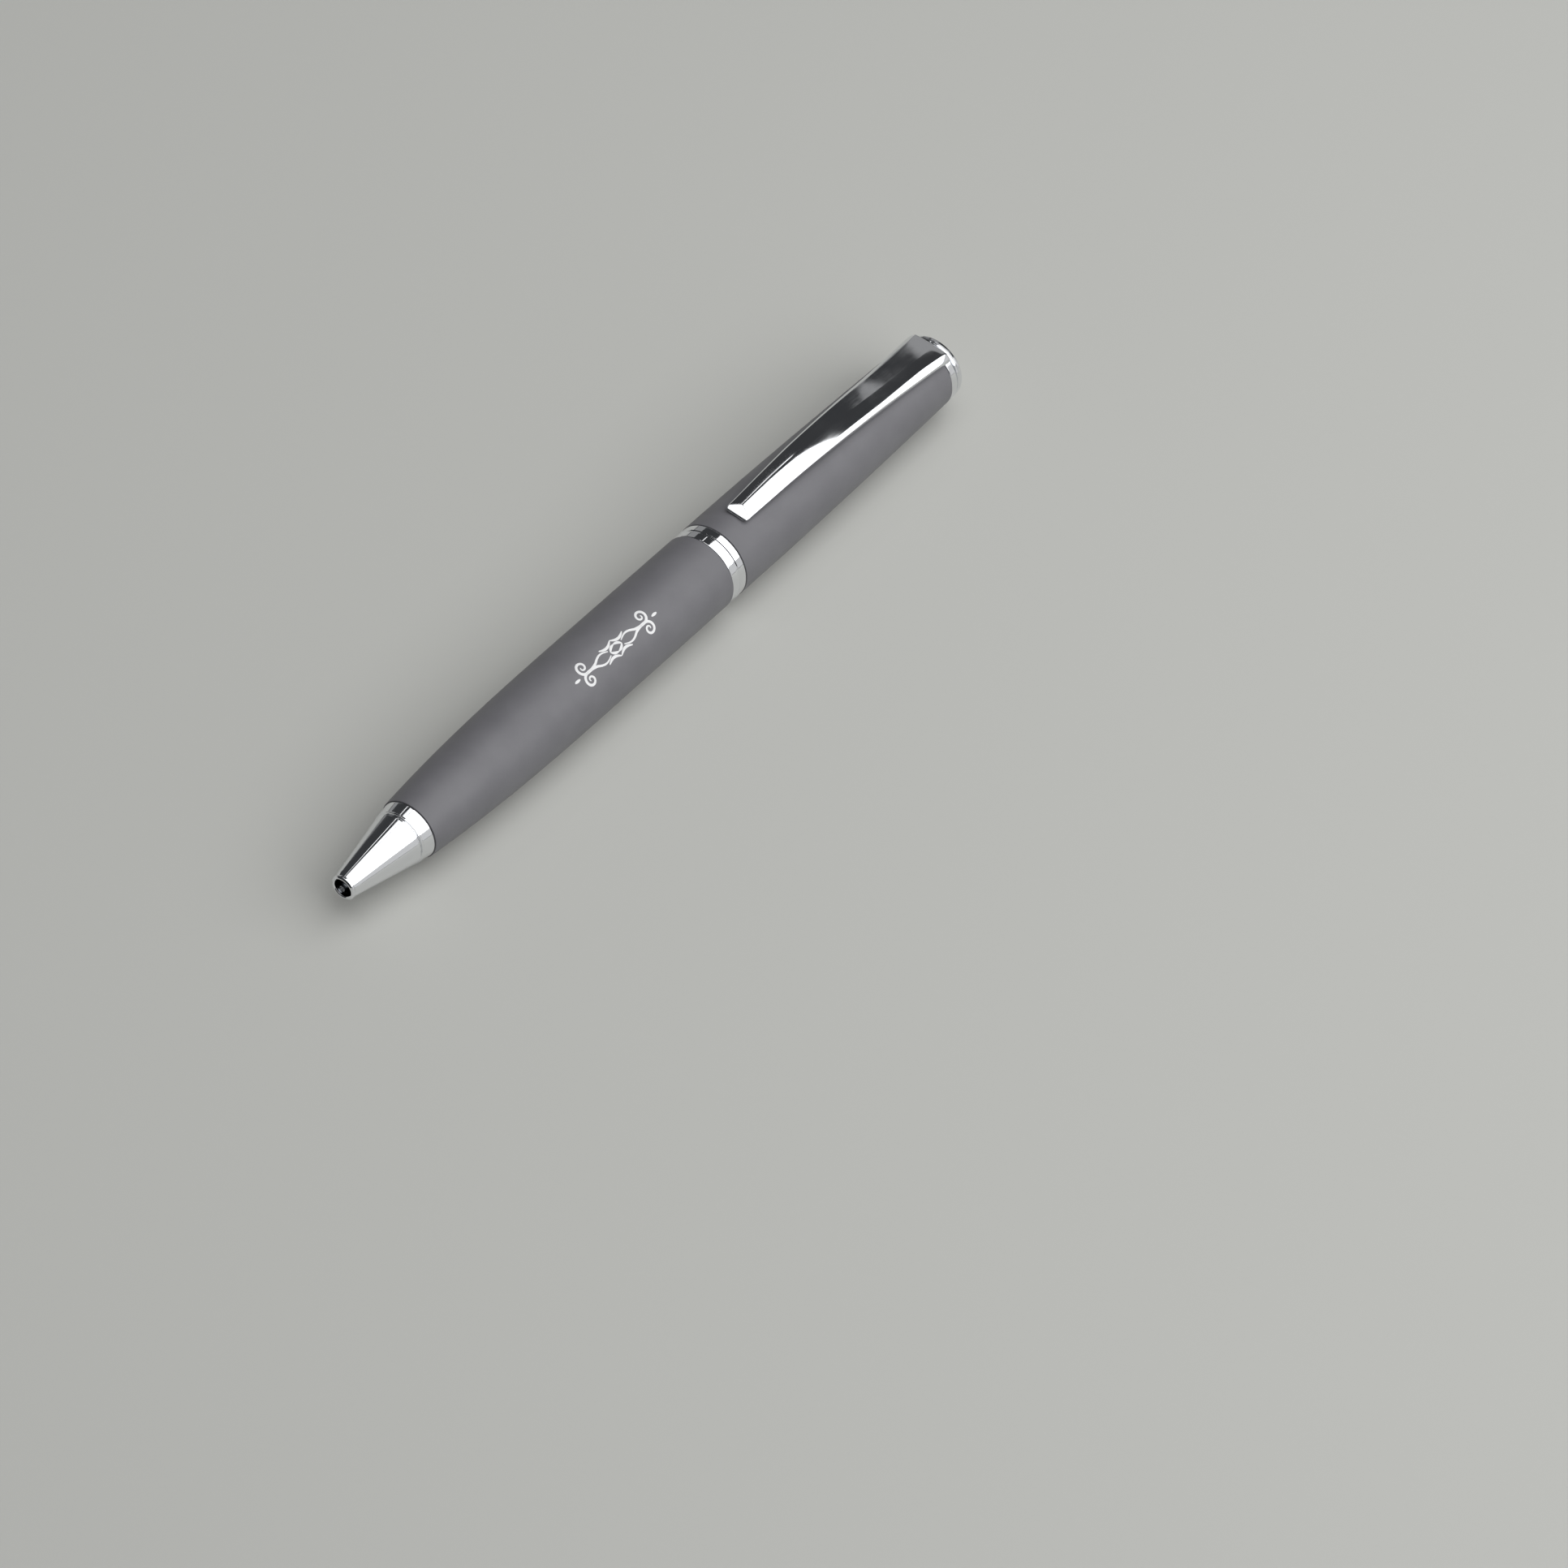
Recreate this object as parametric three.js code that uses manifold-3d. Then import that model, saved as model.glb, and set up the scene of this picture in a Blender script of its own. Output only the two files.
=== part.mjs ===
// Capless twist-action rollerball pen, lying on its barrel with the clip on top.
// Millimetres, +X from the writing tip to the top end, +Z up through the clip, -Y the side with the motif.
// Places along the pen are written as stations: the distance from the rim of the nose.

import * as THREE from 'three';
import { mergeVertices } from 'three/addons/utils/BufferGeometryUtils.js';
import Module from 'manifold-3d';

const wasm = await Module();
wasm.setup();

// ---------- driving dimensions ----------

const PEN_LENGTH = 138;
const BARREL_RADIUS = 6.04;
const BARREL_FRONT_RADIUS = 4.62;
const BARREL_REAR_RADIUS = 5.37;
const BARREL_FRONT = 14.2;
const SWELL_START = 56;
const SWELL_END = 92;
const BARREL_REAR = 134.3;
const SPLIT = 79.4;
const RING_LENGTH = 3;
const JOINT_GAP = 0.1;

const TWIST_TRAVEL = 4.5;
const TWIST_ANGLE = Math.PI;
const PIN_STATION = 101.5;
const PIN_RADIUS = 0.55;

const BALL_RADIUS = 0.35;
const BALL_STATION = 1.95;
const REFILL_RADIUS = 2.95;

const CLIP_FOOT_HALF_WIDTH = 1.55;
const CLIP_FOOT_FRONT = 132.7;
const CLIP_FOOT_REAR = 134;
const CLIP_FOOT_BOTTOM = 4;

const OUTER_SIDES = 32;
const INNER_SIDES = 24;
const SMALL_SIDES = 16;

// ---------- finishes ----------

const FINISHES = {
  lacquer: { color: 0x4c4b50, roughness: 0.55, metalness: 0.2 },
  chrome: { color: 0xd9dbde, roughness: 0.06, metalness: 1 },
  brass: { color: 0xb9975a, roughness: 0.35, metalness: 1 },
  steel: { color: 0xb4b6b8, roughness: 0.3, metalness: 1 },
  polymer: { color: 0x2a2b2e, roughness: 0.6, metalness: 0 },
  rubber: { color: 0x161616, roughness: 0.85, metalness: 0 },
  carbide: { color: 0x8d9096, roughness: 0.12, metalness: 1 },
};

function finish(name) {
  return new THREE.MeshStandardMaterial(FINISHES[name]);
}

// ---------- solids ----------

// Keeps only position, shares the vertices and drops the flat slivers at the poles.
function closed(geometry) {
  const bare = geometry.clone();
  bare.deleteAttribute('normal');
  bare.deleteAttribute('uv');
  const merged = mergeVertices(bare, 1e-5);
  const kept = [];
  for (let i = 0; i < merged.index.count; i += 3) {
    const a = merged.index.getX(i);
    const b = merged.index.getX(i + 1);
    const c = merged.index.getX(i + 2);
    if (a !== b && b !== c && c !== a) kept.push(a, b, c);
  }
  merged.setIndex(kept);
  return merged;
}

function toManifold(geometry) {
  const shape = closed(geometry);
  return new wasm.Manifold(new wasm.Mesh({
    numProp: 3,
    vertProperties: Float32Array.from(shape.attributes.position.array),
    triVerts: Uint32Array.from(shape.index.array),
  }));
}

function fromManifold(solid) {
  const mesh = solid.getMesh();
  const geometry = new THREE.BufferGeometry();
  geometry.setAttribute('position', new THREE.BufferAttribute(mesh.vertProperties, 3));
  geometry.setIndex(Array.from(mesh.triVerts));
  return geometry;
}

function cut(body, ...tools) {
  let solid = toManifold(body);
  for (const tool of tools) solid = solid.subtract(toManifold(tool));
  return fromManifold(solid);
}

function join(body, ...others) {
  let solid = toManifold(body);
  for (const other of others) solid = solid.add(toManifold(other));
  return fromManifold(solid);
}

function along(station) {
  return station - PEN_LENGTH / 2;
}

// Turns an outline of [station, radius] points about the pen's axis, with a flat facing straight down.
// The radii are measured to the flats. A ring's outline comes back to its first point.
function turned(outline, sides = INNER_SIDES) {
  const scale = 1 / Math.cos(Math.PI / sides);
  const onAxis = outline[0][1] === 0;
  const points = outline.map(([station, radius]) => new THREE.Vector2(radius * scale, along(station)));
  if (!onAxis) points.push(points[0].clone());
  if (THREE.ShapeUtils.area(points) < 0) points.reverse();
  const geometry = new THREE.LatheGeometry(points, sides, Math.PI / sides);
  geometry.rotateZ(-Math.PI / 2);
  return closed(geometry);
}

function tube(from, to, inner, outer, sides = INNER_SIDES) {
  return turned([[from, inner], [from, outer], [to, outer], [to, inner]], sides);
}

function block(from, to, halfWidth, bottom, top) {
  const geometry = new THREE.BoxGeometry(to - from, 2 * halfWidth, top - bottom);
  geometry.translate(along((from + to) / 2), 0, (bottom + top) / 2);
  return geometry;
}

// A bar across the pen, standing along Z.
function crossPin(station, radius, reach) {
  const geometry = new THREE.CylinderGeometry(radius, radius, 2 * reach, 12);
  geometry.rotateX(Math.PI / 2);
  geometry.translate(along(station), 0, 0);
  return geometry;
}

// Six times the volume inside a mesh: negative when its faces point in.
function signedVolume(geometry) {
  const place = geometry.attributes.position;
  const corner = (i) => new THREE.Vector3().fromBufferAttribute(place, geometry.index.getX(i));
  let total = 0;
  for (let i = 0; i < geometry.index.count; i += 3) {
    total += corner(i).dot(corner(i + 1).cross(corner(i + 2)));
  }
  return total;
}

// Closes a row of equal rings of points into a solid. The outline is a ring's shape laid flat, for its ends.
function loft(rings, outline) {
  const count = outline.length;
  const triangles = [];
  for (let i = 0; i + 1 < rings.length; i += 1) {
    for (let j = 0; j < count; j += 1) {
      const a = i * count + j;
      const b = i * count + (j + 1) % count;
      triangles.push(a, a + count, b, b, a + count, b + count);
    }
  }
  const lastRing = (rings.length - 1) * count;
  const flat = outline.map(([x, y]) => new THREE.Vector2(x, y));
  const turn = Math.sign(THREE.ShapeUtils.area(flat));
  for (const [a, b, c] of THREE.ShapeUtils.triangulateShape(flat, [])) {
    const [p, q] = turn > 0 ? [b, c] : [c, b];
    triangles.push(a, p, q);
    triangles.push(lastRing + a, lastRing + q, lastRing + p);
  }
  const geometry = new THREE.BufferGeometry();
  const positions = rings.flat().flatMap((p) => [p.x, p.y, p.z]);
  geometry.setAttribute('position', new THREE.Float32BufferAttribute(positions, 3));
  geometry.setIndex(triangles);
  if (signedVolume(geometry) < 0) geometry.setIndex(triangles.reverse());
  return geometry;
}

// ---------- outline of the barrel ----------

// The barrel swells from the nose to the middle, runs straight, then narrows to the top.
function barrelRadius(station) {
  if (station < SWELL_START) {
    const away = (SWELL_START - station) / (SWELL_START - BARREL_FRONT);
    return BARREL_RADIUS - (BARREL_RADIUS - BARREL_FRONT_RADIUS) * away ** 2.9;
  }
  if (station > SWELL_END) {
    const away = (station - SWELL_END) / (BARREL_REAR - SWELL_END);
    return BARREL_RADIUS - (BARREL_RADIUS - BARREL_REAR_RADIUS) * away ** 1.5;
  }
  return BARREL_RADIUS;
}

function barrelOutline(stations) {
  return stations.map((station) => [station, barrelRadius(station)]);
}

// ---------- lower half ----------

// Chromed cone with a rolled rim, a fine bead at its base and a threaded spigot behind it.
function noseCone() {
  return turned([
    [0, 1.42],
    [0, 1.62],
    [0.3, 1.8],
    [1, 1.95],
    [11.8, 4.1],
    [11.95, 4.24],
    [12.15, 4.24],
    [12.3, 4.16],
    [13.9, 4.47],
    [13.9, 3.85],
    [21, 3.85],
    [21, 3.2],
    [10.8, 3.2],
    [6.2, 2.45],
    [6.2, 1.85],
    [2.9, 1.85],
    [2.4, 1.3],
    [0.5, 1.3],
  ], OUTER_SIDES);
}

function lowerBarrel() {
  return turned([
    ...barrelOutline([BARREL_FRONT, 16, 18.5, 21.5, 25, 29.5, 35, 43, SWELL_START, SPLIT]),
    [SPLIT, 5.4],
    [44, 5.4],
    [30, 5.05],
    [23.5, 4.5],
    [22, 3.95],
    [BARREL_FRONT, 3.95],
  ], OUTER_SIDES);
}

function lowerBush() {
  return tube(66, SPLIT - 0.2, 4.75, 5.3);
}

// Screws into the lower bush, carries the seal groove and is the journal that the upper half turns on.
function mechanismCollar() {
  return turned([
    [67, 3.65],
    [67, 4.65],
    [78.8, 4.65],
    [79.2, 4.45],
    [85.9, 4.45],
    [85.9, 4],
    [87.5, 4],
    [87.5, 4.45],
    [94, 4.45],
    [94, 3.65],
  ], OUTER_SIDES);
}

function frictionRing() {
  return turned([[86.1, 4.05], [86.0, 4.3], [86.3, 4.5], [87.1, 4.5], [87.4, 4.3], [87.3, 4.05]]);
}

// Keeps the plunger's pin from turning: it can only run along the two straight slots.
function guideTube() {
  const reach = PIN_RADIUS + 0.2;
  const slot = block(PIN_STATION - TWIST_TRAVEL - reach, PIN_STATION + reach, reach, -4, 4);
  return cut(tube(75, 113, 3.15, 3.6), slot);
}

function returnSpring() {
  const wire = 0.175;
  const radius = 2.1;
  const turns = 8;
  const front = 6.3 + wire;
  const rear = 15.85 - wire;
  const steps = turns * 14;
  const points = [];
  for (let i = 0; i <= steps; i += 1) {
    const angle = 2 * Math.PI * turns * i / steps;
    const station = front + (rear - front) * i / steps;
    points.push(new THREE.Vector3(along(station), radius * Math.cos(angle), radius * Math.sin(angle)));
  }
  const section = new THREE.Shape();
  for (let i = 0; i < 6; i += 1) {
    const angle = 2 * Math.PI * i / 6;
    const x = wire * Math.cos(angle);
    const y = wire * Math.sin(angle);
    if (i === 0) section.moveTo(x, y);
    else section.lineTo(x, y);
  }
  section.closePath();
  return closed(new THREE.ExtrudeGeometry(section, {
    extrudePath: new THREE.CatmullRomCurve3(points),
    steps,
    bevelEnabled: false,
  }));
}

// ---------- upper half ----------

function centreRing() {
  const front = SPLIT + JOINT_GAP;
  const rear = front + RING_LENGTH;
  const radius = BARREL_RADIUS - 0.04;
  return turned([
    [front, 4.6],
    [front, radius - 0.15],
    [front + 0.15, radius],
    [rear - 0.15, radius],
    [rear, radius - 0.15],
    [rear, 4.6],
  ], OUTER_SIDES);
}

// Painted tube with a notch at the top edge for the clip's foot.
function upperBarrel() {
  const front = SPLIT + RING_LENGTH + 2 * JOINT_GAP;
  const shell = turned([
    ...barrelOutline([front, SWELL_END, 97, 103, 109, 115, 121, 127, 131.5, BARREL_REAR]),
    [BARREL_REAR, 4.85],
    [118, 4.85],
    [118, 5.2],
    [front, 5.2],
  ], OUTER_SIDES);
  const notch = block(CLIP_FOOT_FRONT - 0.3, BARREL_REAR + 1, CLIP_FOOT_HALF_WIDTH + 0.2, 4, 6.5);
  return cut(shell, notch);
}

function mechanismHousing() {
  return tube(SPLIT + RING_LENGTH + 0.35, 117.8, 4.6, 5.1, OUTER_SIDES);
}

// One helical slot: it drops by the full travel over half a turn, with a short rest at each end.
function helicalSlot(startAngle) {
  const halfWidth = PIN_RADIUS + 0.25;
  const rest = THREE.MathUtils.degToRad(13);
  const steps = 17;
  const rings = [];
  for (let i = 0; i <= steps; i += 1) {
    const turn = -rest + (TWIST_ANGLE + 2 * rest) * i / steps;
    const driven = THREE.MathUtils.clamp(turn / TWIST_ANGLE, 0, 1);
    const station = PIN_STATION - TWIST_TRAVEL * driven;
    const angle = startAngle - turn;
    const corner = (radius, offset) => new THREE.Vector3(
      along(station + offset),
      radius * Math.cos(angle),
      radius * Math.sin(angle),
    );
    rings.push([
      corner(3.3, -halfWidth),
      corner(5, -halfWidth),
      corner(5, halfWidth),
      corner(3.3, halfWidth),
    ]);
  }
  return loft(rings, [[0, 0], [1, 0], [1, 1], [0, 1]]);
}

// Turning this sleeve with the upper half drives the pin and the refill forward.
function camSleeve() {
  return cut(
    tube(94.3, 113.2, 3.8, 4.5, OUTER_SIDES),
    helicalSlot(Math.PI / 2),
    helicalSlot(-Math.PI / 2),
  );
}

function housingCap() {
  return turned([
    [113.4, 1],
    [113.4, 4.5],
    [116.5, 4.5],
    [116.5, 3],
    [115, 2.5],
    [115, 1],
  ]);
}

// Pressed into the top of the barrel; the finial screws into it and the clip's foot hooks in its slot.
function topBush() {
  const body = tube(130.5, BARREL_REAR - 0.1, 1.6, 4.75, OUTER_SIDES);
  const slot = block(CLIP_FOOT_FRONT - 0.3, BARREL_REAR + 1, CLIP_FOOT_HALF_WIDTH + 0.2, CLIP_FOOT_BOTTOM - 0.3, 6);
  return cut(body, slot);
}

function clipRing() {
  return tube(134.4, 135.8, 1.7, 5.34, OUTER_SIDES);
}

// Shallow domed cap with a flat end and a threaded stud that clamps the ring.
function finial() {
  return turned([
    [131, 0],
    [131, 1.5],
    [135.95, 1.5],
    [135.95, 5.16],
    [136.05, 5.28],
    [136.8, 5.24],
    [137.35, 4.95],
    [137.8, 4.2],
    [PEN_LENGTH, 3],
    [PEN_LENGTH, 0],
  ], OUTER_SIDES);
}

// ---------- clip ----------

// Each row: station, ridge height above the pen's axis, half width, crown, bevel width, bevel drop,
// side height, thickness.
const CLIP_SECTIONS = [
  [86.6, 6.5, 1.8, 0.02, 0.14, 0.1, 0.2, 0.24],
  [87.6, 6.84, 1.88, 0.08, 0.17, 0.12, 0.46, 0.58],
  [88.6, 7.1, 1.9, 0.26, 0.18, 0.14, 0.66, 0.78],
  [90, 7.2, 1.95, 0.26, 0.2, 0.15, 0.7, 0.86],
  [93, 7.44, 2.06, 0.26, 0.22, 0.18, 0.72, 0.95],
  [97, 7.76, 2.2, 0.26, 0.28, 0.22, 0.78, 1],
  [101.5, 7.95, 2.36, 0.26, 0.36, 0.28, 0.86, 1],
  [106.5, 7.9, 2.5, 0.22, 0.48, 0.36, 0.96, 1],
  [111.6, 7.73, 2.64, 0.15, 0.62, 0.44, 1.06, 1],
  [117, 7.42, 2.78, 0.1, 0.76, 0.5, 1.16, 1],
  [121.9, 7.1, 2.92, 0.07, 0.9, 0.54, 1.24, 1],
  [126.5, 6.86, 3.12, 0.06, 1, 0.58, 1.32, 1],
  [130.5, 6.68, 3.32, 0.06, 0.96, 0.62, 1.4, 1],
  [134.8, 6.38, 3.5, 0.06, 0.74, 0.66, 1.48, 1],
];

function clipOutline([station, top, half, crown, bevel, bevelDrop, side, thickness]) {
  const clearance = Math.min(barrelRadius(station), BARREL_RADIUS) + 0.22;
  const under = (y) => Math.max(top - thickness, Math.sqrt(clearance ** 2 - y ** 2));
  const inner = half - 0.45;
  const edge = half - bevel;
  const bevelFoot = top - crown - bevelDrop;
  return [
    [-edge, top - crown],
    [-half, bevelFoot],
    [-half, Math.min(top - side, bevelFoot - 0.05)],
    [-inner, under(inner)],
    [-half / 2, under(half / 2)],
    [0, under(0)],
    [half / 2, under(half / 2)],
    [inner, under(inner)],
    [half, Math.min(top - side, bevelFoot - 0.05)],
    [half, bevelFoot],
    [edge, top - crown],
    [edge / 2, top - crown / 3],
    [0, top],
    [-edge / 2, top - crown / 3],
  ];
}

// Long tapering spring arm, wide at the top, cut off by a sloping face at its free end.
function clipArm() {
  const rings = CLIP_SECTIONS.map((section) => (
    clipOutline(section).map(([y, z]) => new THREE.Vector3(along(section[0]), y, z))
  ));
  const arm = loft(rings, clipOutline(CLIP_SECTIONS[0]));
  const foot = block(CLIP_FOOT_FRONT, CLIP_FOOT_REAR, CLIP_FOOT_HALF_WIDTH, CLIP_FOOT_BOTTOM, 5.8);
  return join(arm, foot);
}

// ---------- refill ----------

function writingBall() {
  const geometry = new THREE.SphereGeometry(BALL_RADIUS, 12, 8);
  geometry.translate(along(BALL_STATION), 0, 0);
  return closed(geometry);
}

// Steel tube drawn down to a socket that holds the ball behind its lip.
function refillTip() {
  return turned([
    [1.7, 0.32],
    [1.7, 0.42],
    [2.1, 0.55],
    [3.4, 1.15],
    [8.8, 1.15],
    [8.8, 0.25],
    [2.4, 0.25],
    [2.4, 0.39],
    [1.86, 0.39],
    [1.77, 0.32],
  ], SMALL_SIDES);
}

function refillFront() {
  return turned([
    [7.5, 1.22],
    [7.5, 1.4],
    [7.9, 1.7],
    [15.95, 1.7],
    [16.35, REFILL_RADIUS - 0.1],
    [16.5, REFILL_RADIUS - 0.1],
    [16.5, 2.45],
    [20, 2.45],
    [20, 0.6],
    [9, 0.6],
    [9, 1.22],
  ]);
}

function refillTube() {
  return tube(16.6, 97.4, 2.55, REFILL_RADIUS);
}

function refillPlug() {
  return turned([
    [94.5, 0.6],
    [94.5, 2.45],
    [97.5, 2.45],
    [97.5, 2.9],
    [99.2, 2.9],
    [99.6, 2.5],
    [99.6, 0.6],
  ]);
}

function plunger() {
  const body = turned([
    [99.7, 0],
    [99.7, 2.6],
    [100.1, 3],
    [104.2, 3],
    [104.6, 2.6],
    [104.6, 0],
  ]);
  return cut(body, crossPin(PIN_STATION, PIN_RADIUS + 0.08, 5));
}

function plungerPin() {
  return crossPin(PIN_STATION, PIN_RADIUS, 4.3);
}

// ---------- assembly ----------

const pen = new THREE.Group();
pen.name = 'rollerball_pen';
pen.position.z = BARREL_RADIUS;

function add(name, geometry, finishName) {
  const mesh = new THREE.Mesh(geometry, finish(finishName));
  mesh.name = name;
  pen.add(mesh);
}

add('nose_cone', noseCone(), 'chrome');
add('lower_barrel', lowerBarrel(), 'lacquer');
add('lower_bush', lowerBush(), 'brass');
add('mechanism_collar', mechanismCollar(), 'brass');
add('friction_ring', frictionRing(), 'rubber');
add('guide_tube', guideTube(), 'polymer');
add('return_spring', returnSpring(), 'steel');

add('centre_ring', centreRing(), 'chrome');
add('upper_barrel', upperBarrel(), 'lacquer');
add('mechanism_housing', mechanismHousing(), 'brass');
add('cam_sleeve', camSleeve(), 'polymer');
add('housing_cap', housingCap(), 'brass');
add('top_bush', topBush(), 'brass');
add('clip_ring', clipRing(), 'chrome');
add('finial', finial(), 'chrome');
add('clip', clipArm(), 'chrome');

add('plunger', plunger(), 'polymer');
add('plunger_pin', plungerPin(), 'steel');
add('refill_tube', refillTube(), 'steel');
add('refill_front', refillFront(), 'polymer');
add('refill_plug', refillPlug(), 'polymer');
add('refill_tip', refillTip(), 'steel');
add('writing_ball', writingBall(), 'carbide');

export default pen;
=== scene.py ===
from math import atan2, cos, hypot, pi, radians, sin, sqrt, tan
import bpy
import bmesh
from mathutils import Matrix, Vector


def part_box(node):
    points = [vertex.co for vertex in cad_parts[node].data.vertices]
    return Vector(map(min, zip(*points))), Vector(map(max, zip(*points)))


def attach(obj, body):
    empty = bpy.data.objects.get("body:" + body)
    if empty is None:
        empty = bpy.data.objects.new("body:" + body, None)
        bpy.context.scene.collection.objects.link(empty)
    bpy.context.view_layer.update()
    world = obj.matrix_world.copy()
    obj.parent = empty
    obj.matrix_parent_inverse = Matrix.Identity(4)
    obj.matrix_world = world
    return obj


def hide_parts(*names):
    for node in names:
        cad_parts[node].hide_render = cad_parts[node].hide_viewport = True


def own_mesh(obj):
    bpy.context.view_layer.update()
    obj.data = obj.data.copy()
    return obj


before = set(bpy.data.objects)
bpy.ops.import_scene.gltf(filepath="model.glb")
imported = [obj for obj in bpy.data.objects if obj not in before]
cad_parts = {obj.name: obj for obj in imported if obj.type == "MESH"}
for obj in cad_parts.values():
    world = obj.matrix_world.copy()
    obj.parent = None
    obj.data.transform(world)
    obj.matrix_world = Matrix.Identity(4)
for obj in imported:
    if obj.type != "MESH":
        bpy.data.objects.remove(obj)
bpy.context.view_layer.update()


# ---------------------------------------------------------------------------------------------
# Camera. The pen lies on its barrel with the clip up and is seen from above its writing end, with
# the top end leaning away. The angles say how the pen's axis stands in the camera's own view.
# ---------------------------------------------------------------------------------------------
MM = 0.001
RIM_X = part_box("nose_cone")[0].x
AXIS_Z = (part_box("refill_tube")[0].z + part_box("refill_tube")[1].z) / 2

LENS_MM = 130.4
SENSOR_MM = 36.0
AXIS_LEANS_AWAY = radians(36.5)
AXIS_RISES = radians(43.08)
CLIP_TURNS = radians(22.0)
PEN_MIDDLE_IN_VIEW = Vector((-18.06, 24.01, -793.76)) * MM

along_pen = Vector((
    cos(AXIS_LEANS_AWAY) * cos(AXIS_RISES),
    cos(AXIS_LEANS_AWAY) * sin(AXIS_RISES),
    -sin(AXIS_LEANS_AWAY),
))
towards_viewer = (Vector((0, 0, 1)) - along_pen.z * along_pen).normalized()
across_view = along_pen.cross(towards_viewer)
up_through_clip = cos(CLIP_TURNS) * towards_viewer - sin(CLIP_TURNS) * across_view
across_pen = up_through_clip.cross(along_pen)
view_to_pen = Matrix((along_pen, across_pen, up_through_clip))

camera_data = bpy.data.cameras.new("camera")
camera_data.lens = LENS_MM
camera_data.sensor_width = SENSOR_MM
camera_data.clip_start = 0.01
camera = bpy.data.objects.new("camera", camera_data)
camera.matrix_world = view_to_pen.to_4x4()
camera.location = Vector((0, 0, AXIS_Z)) - view_to_pen @ PEN_MIDDLE_IN_VIEW
bpy.context.collection.objects.link(camera)
bpy.context.scene.camera = camera


# ---------------------------------------------------------------------------------------------
# Floor and lights. A plain pale floor, and one large softbox over the pen's -Y side with a card
# above it. Weak boxes low on both sides and past the top end lift the dark side, a thin strip draws
# a line of light on polished metal, and the surround is dim.
# ---------------------------------------------------------------------------------------------
FLOOR_HALF = 1.5
FLOOR_COLOUR = (0.50, 0.504, 0.48, 1)
FLOOR_ROUGHNESS = 0.9
SURROUND_COLOUR = (0.92, 0.95, 1, 1)
SURROUND_STRENGTH = 0.045


def new_material(name):
    """An empty node material with a Principled shader in it."""
    material = bpy.data.materials.new(name)
    material.use_nodes = True
    return material, material.node_tree, material.node_tree.nodes["Principled BSDF"]


floor_mesh = bpy.data.meshes.new("floor")
floor_corners = [(x * FLOOR_HALF, y * FLOOR_HALF, 0) for x, y in ((-1, -1), (1, -1), (1, 1), (-1, 1))]
floor_mesh.from_pydata(floor_corners, [], [(0, 1, 2, 3)])
floor = bpy.data.objects.new("floor", floor_mesh)
bpy.context.collection.objects.link(floor)
floor_material, _, floor_shader = new_material("floor")
floor_shader.inputs["Base Color"].default_value = FLOOR_COLOUR
floor_shader.inputs["Roughness"].default_value = FLOOR_ROUGHNESS
floor_mesh.materials.append(floor_material)


def softbox(name, lean, centre, size, distance, radiance):
    """A rectangular light with an edge along the pen, leaning over it by an angle.

    Its centre and size are given as shares of its distance from the pen.
    """
    light = bpy.data.lights.new(name, "AREA")
    light.shape = "RECTANGLE"
    light.size = size[0] * distance
    light.size_y = size[1] * distance
    light.energy = radiance * pi * light.size * light.size_y
    lamp = bpy.data.objects.new(name, light)
    turn = Matrix.Rotation(lean, 3, "X")
    lamp.matrix_world = turn.to_4x4()
    lamp.location = Vector((0, 0, AXIS_Z)) + turn @ Vector((centre[0], centre[1], 1)) * distance
    bpy.context.collection.objects.link(lamp)


softbox("key", radians(20), (0.35, -0.17), (1.80, 1.66), 0.8, 1.85)
softbox("top_card", radians(20), (-0.20, 0.86), (1.05, 0.36), 0.8, 1.2)
softbox("low_side", radians(72), (0.65, 0.065), (2.4, 0.75), 0.9, 0.58)
softbox("window_strip", radians(-35), (0.20, 0.02), (1.10, 0.035), 1.2, 1.35)
softbox("far_side", radians(-75), (0.95, 0.02), (1.3, 0.44), 1.0, 0.22)
softbox("end_fill", radians(-30), (1.55, 0.22), (0.94, 0.6), 1.0, 0.26)

bpy.context.scene.view_settings.view_transform = "Standard"
world = bpy.data.worlds.new("surround")
world.use_nodes = True
world.node_tree.nodes["Background"].inputs["Color"].default_value = SURROUND_COLOUR
world.node_tree.nodes["Background"].inputs["Strength"].default_value = SURROUND_STRENGTH
bpy.context.scene.world = world


# ---------------------------------------------------------------------------------------------
# Nose cone: turned from brass, bored for the refill's tip and plated with polished chromium. Its
# rim is rolled, a fine groove and step mark its base, and a threaded spigot screws into the barrel.
# ---------------------------------------------------------------------------------------------
SIDES = 144
ARC_STEPS = 5
EDGE_SHARE = 0.45
SUPPORT = 0.06


def at(station):
    """X of a station: its distance in mm from the rim of the nose."""
    return RIM_X + station * MM


def softened(outline, closed):
    """Rounds each (station, radius, rounding) corner, and adds a point beside each round.

    A rounding takes no more than a share of the edges beside it, so neighbours never cross.
    """
    count = len(outline)
    points = []
    for i, (station, radius, rounding) in enumerate(outline):
        here = Vector((station, radius))
        inner = closed or 0 < i < count - 1
        if not inner or rounding <= 0:
            points.append(here)
            continue
        before = Vector(outline[i - 1][:2]) - here
        after = Vector(outline[(i + 1) % count][:2]) - here
        corner = before.angle(after)
        back = min(rounding / tan(corner / 2), EDGE_SHARE * before.length, EDGE_SHARE * after.length)
        true_rounding = back * tan(corner / 2)
        before.normalize()
        after.normalize()
        middle = here + (before + after).normalized() * hypot(back, true_rounding)
        start = here + before * back - middle
        end = here + after * back - middle
        turn = atan2(start.x * end.y - start.y * end.x, start.dot(end))
        beside = back + min(SUPPORT, 0.5 * back)
        points.append(here + before * beside)
        for step in range(ARC_STEPS + 1):
            points.append(middle + Matrix.Rotation(turn * step / ARC_STEPS, 2) @ start)
        points.append(here + after * beside)
    return points


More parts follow.
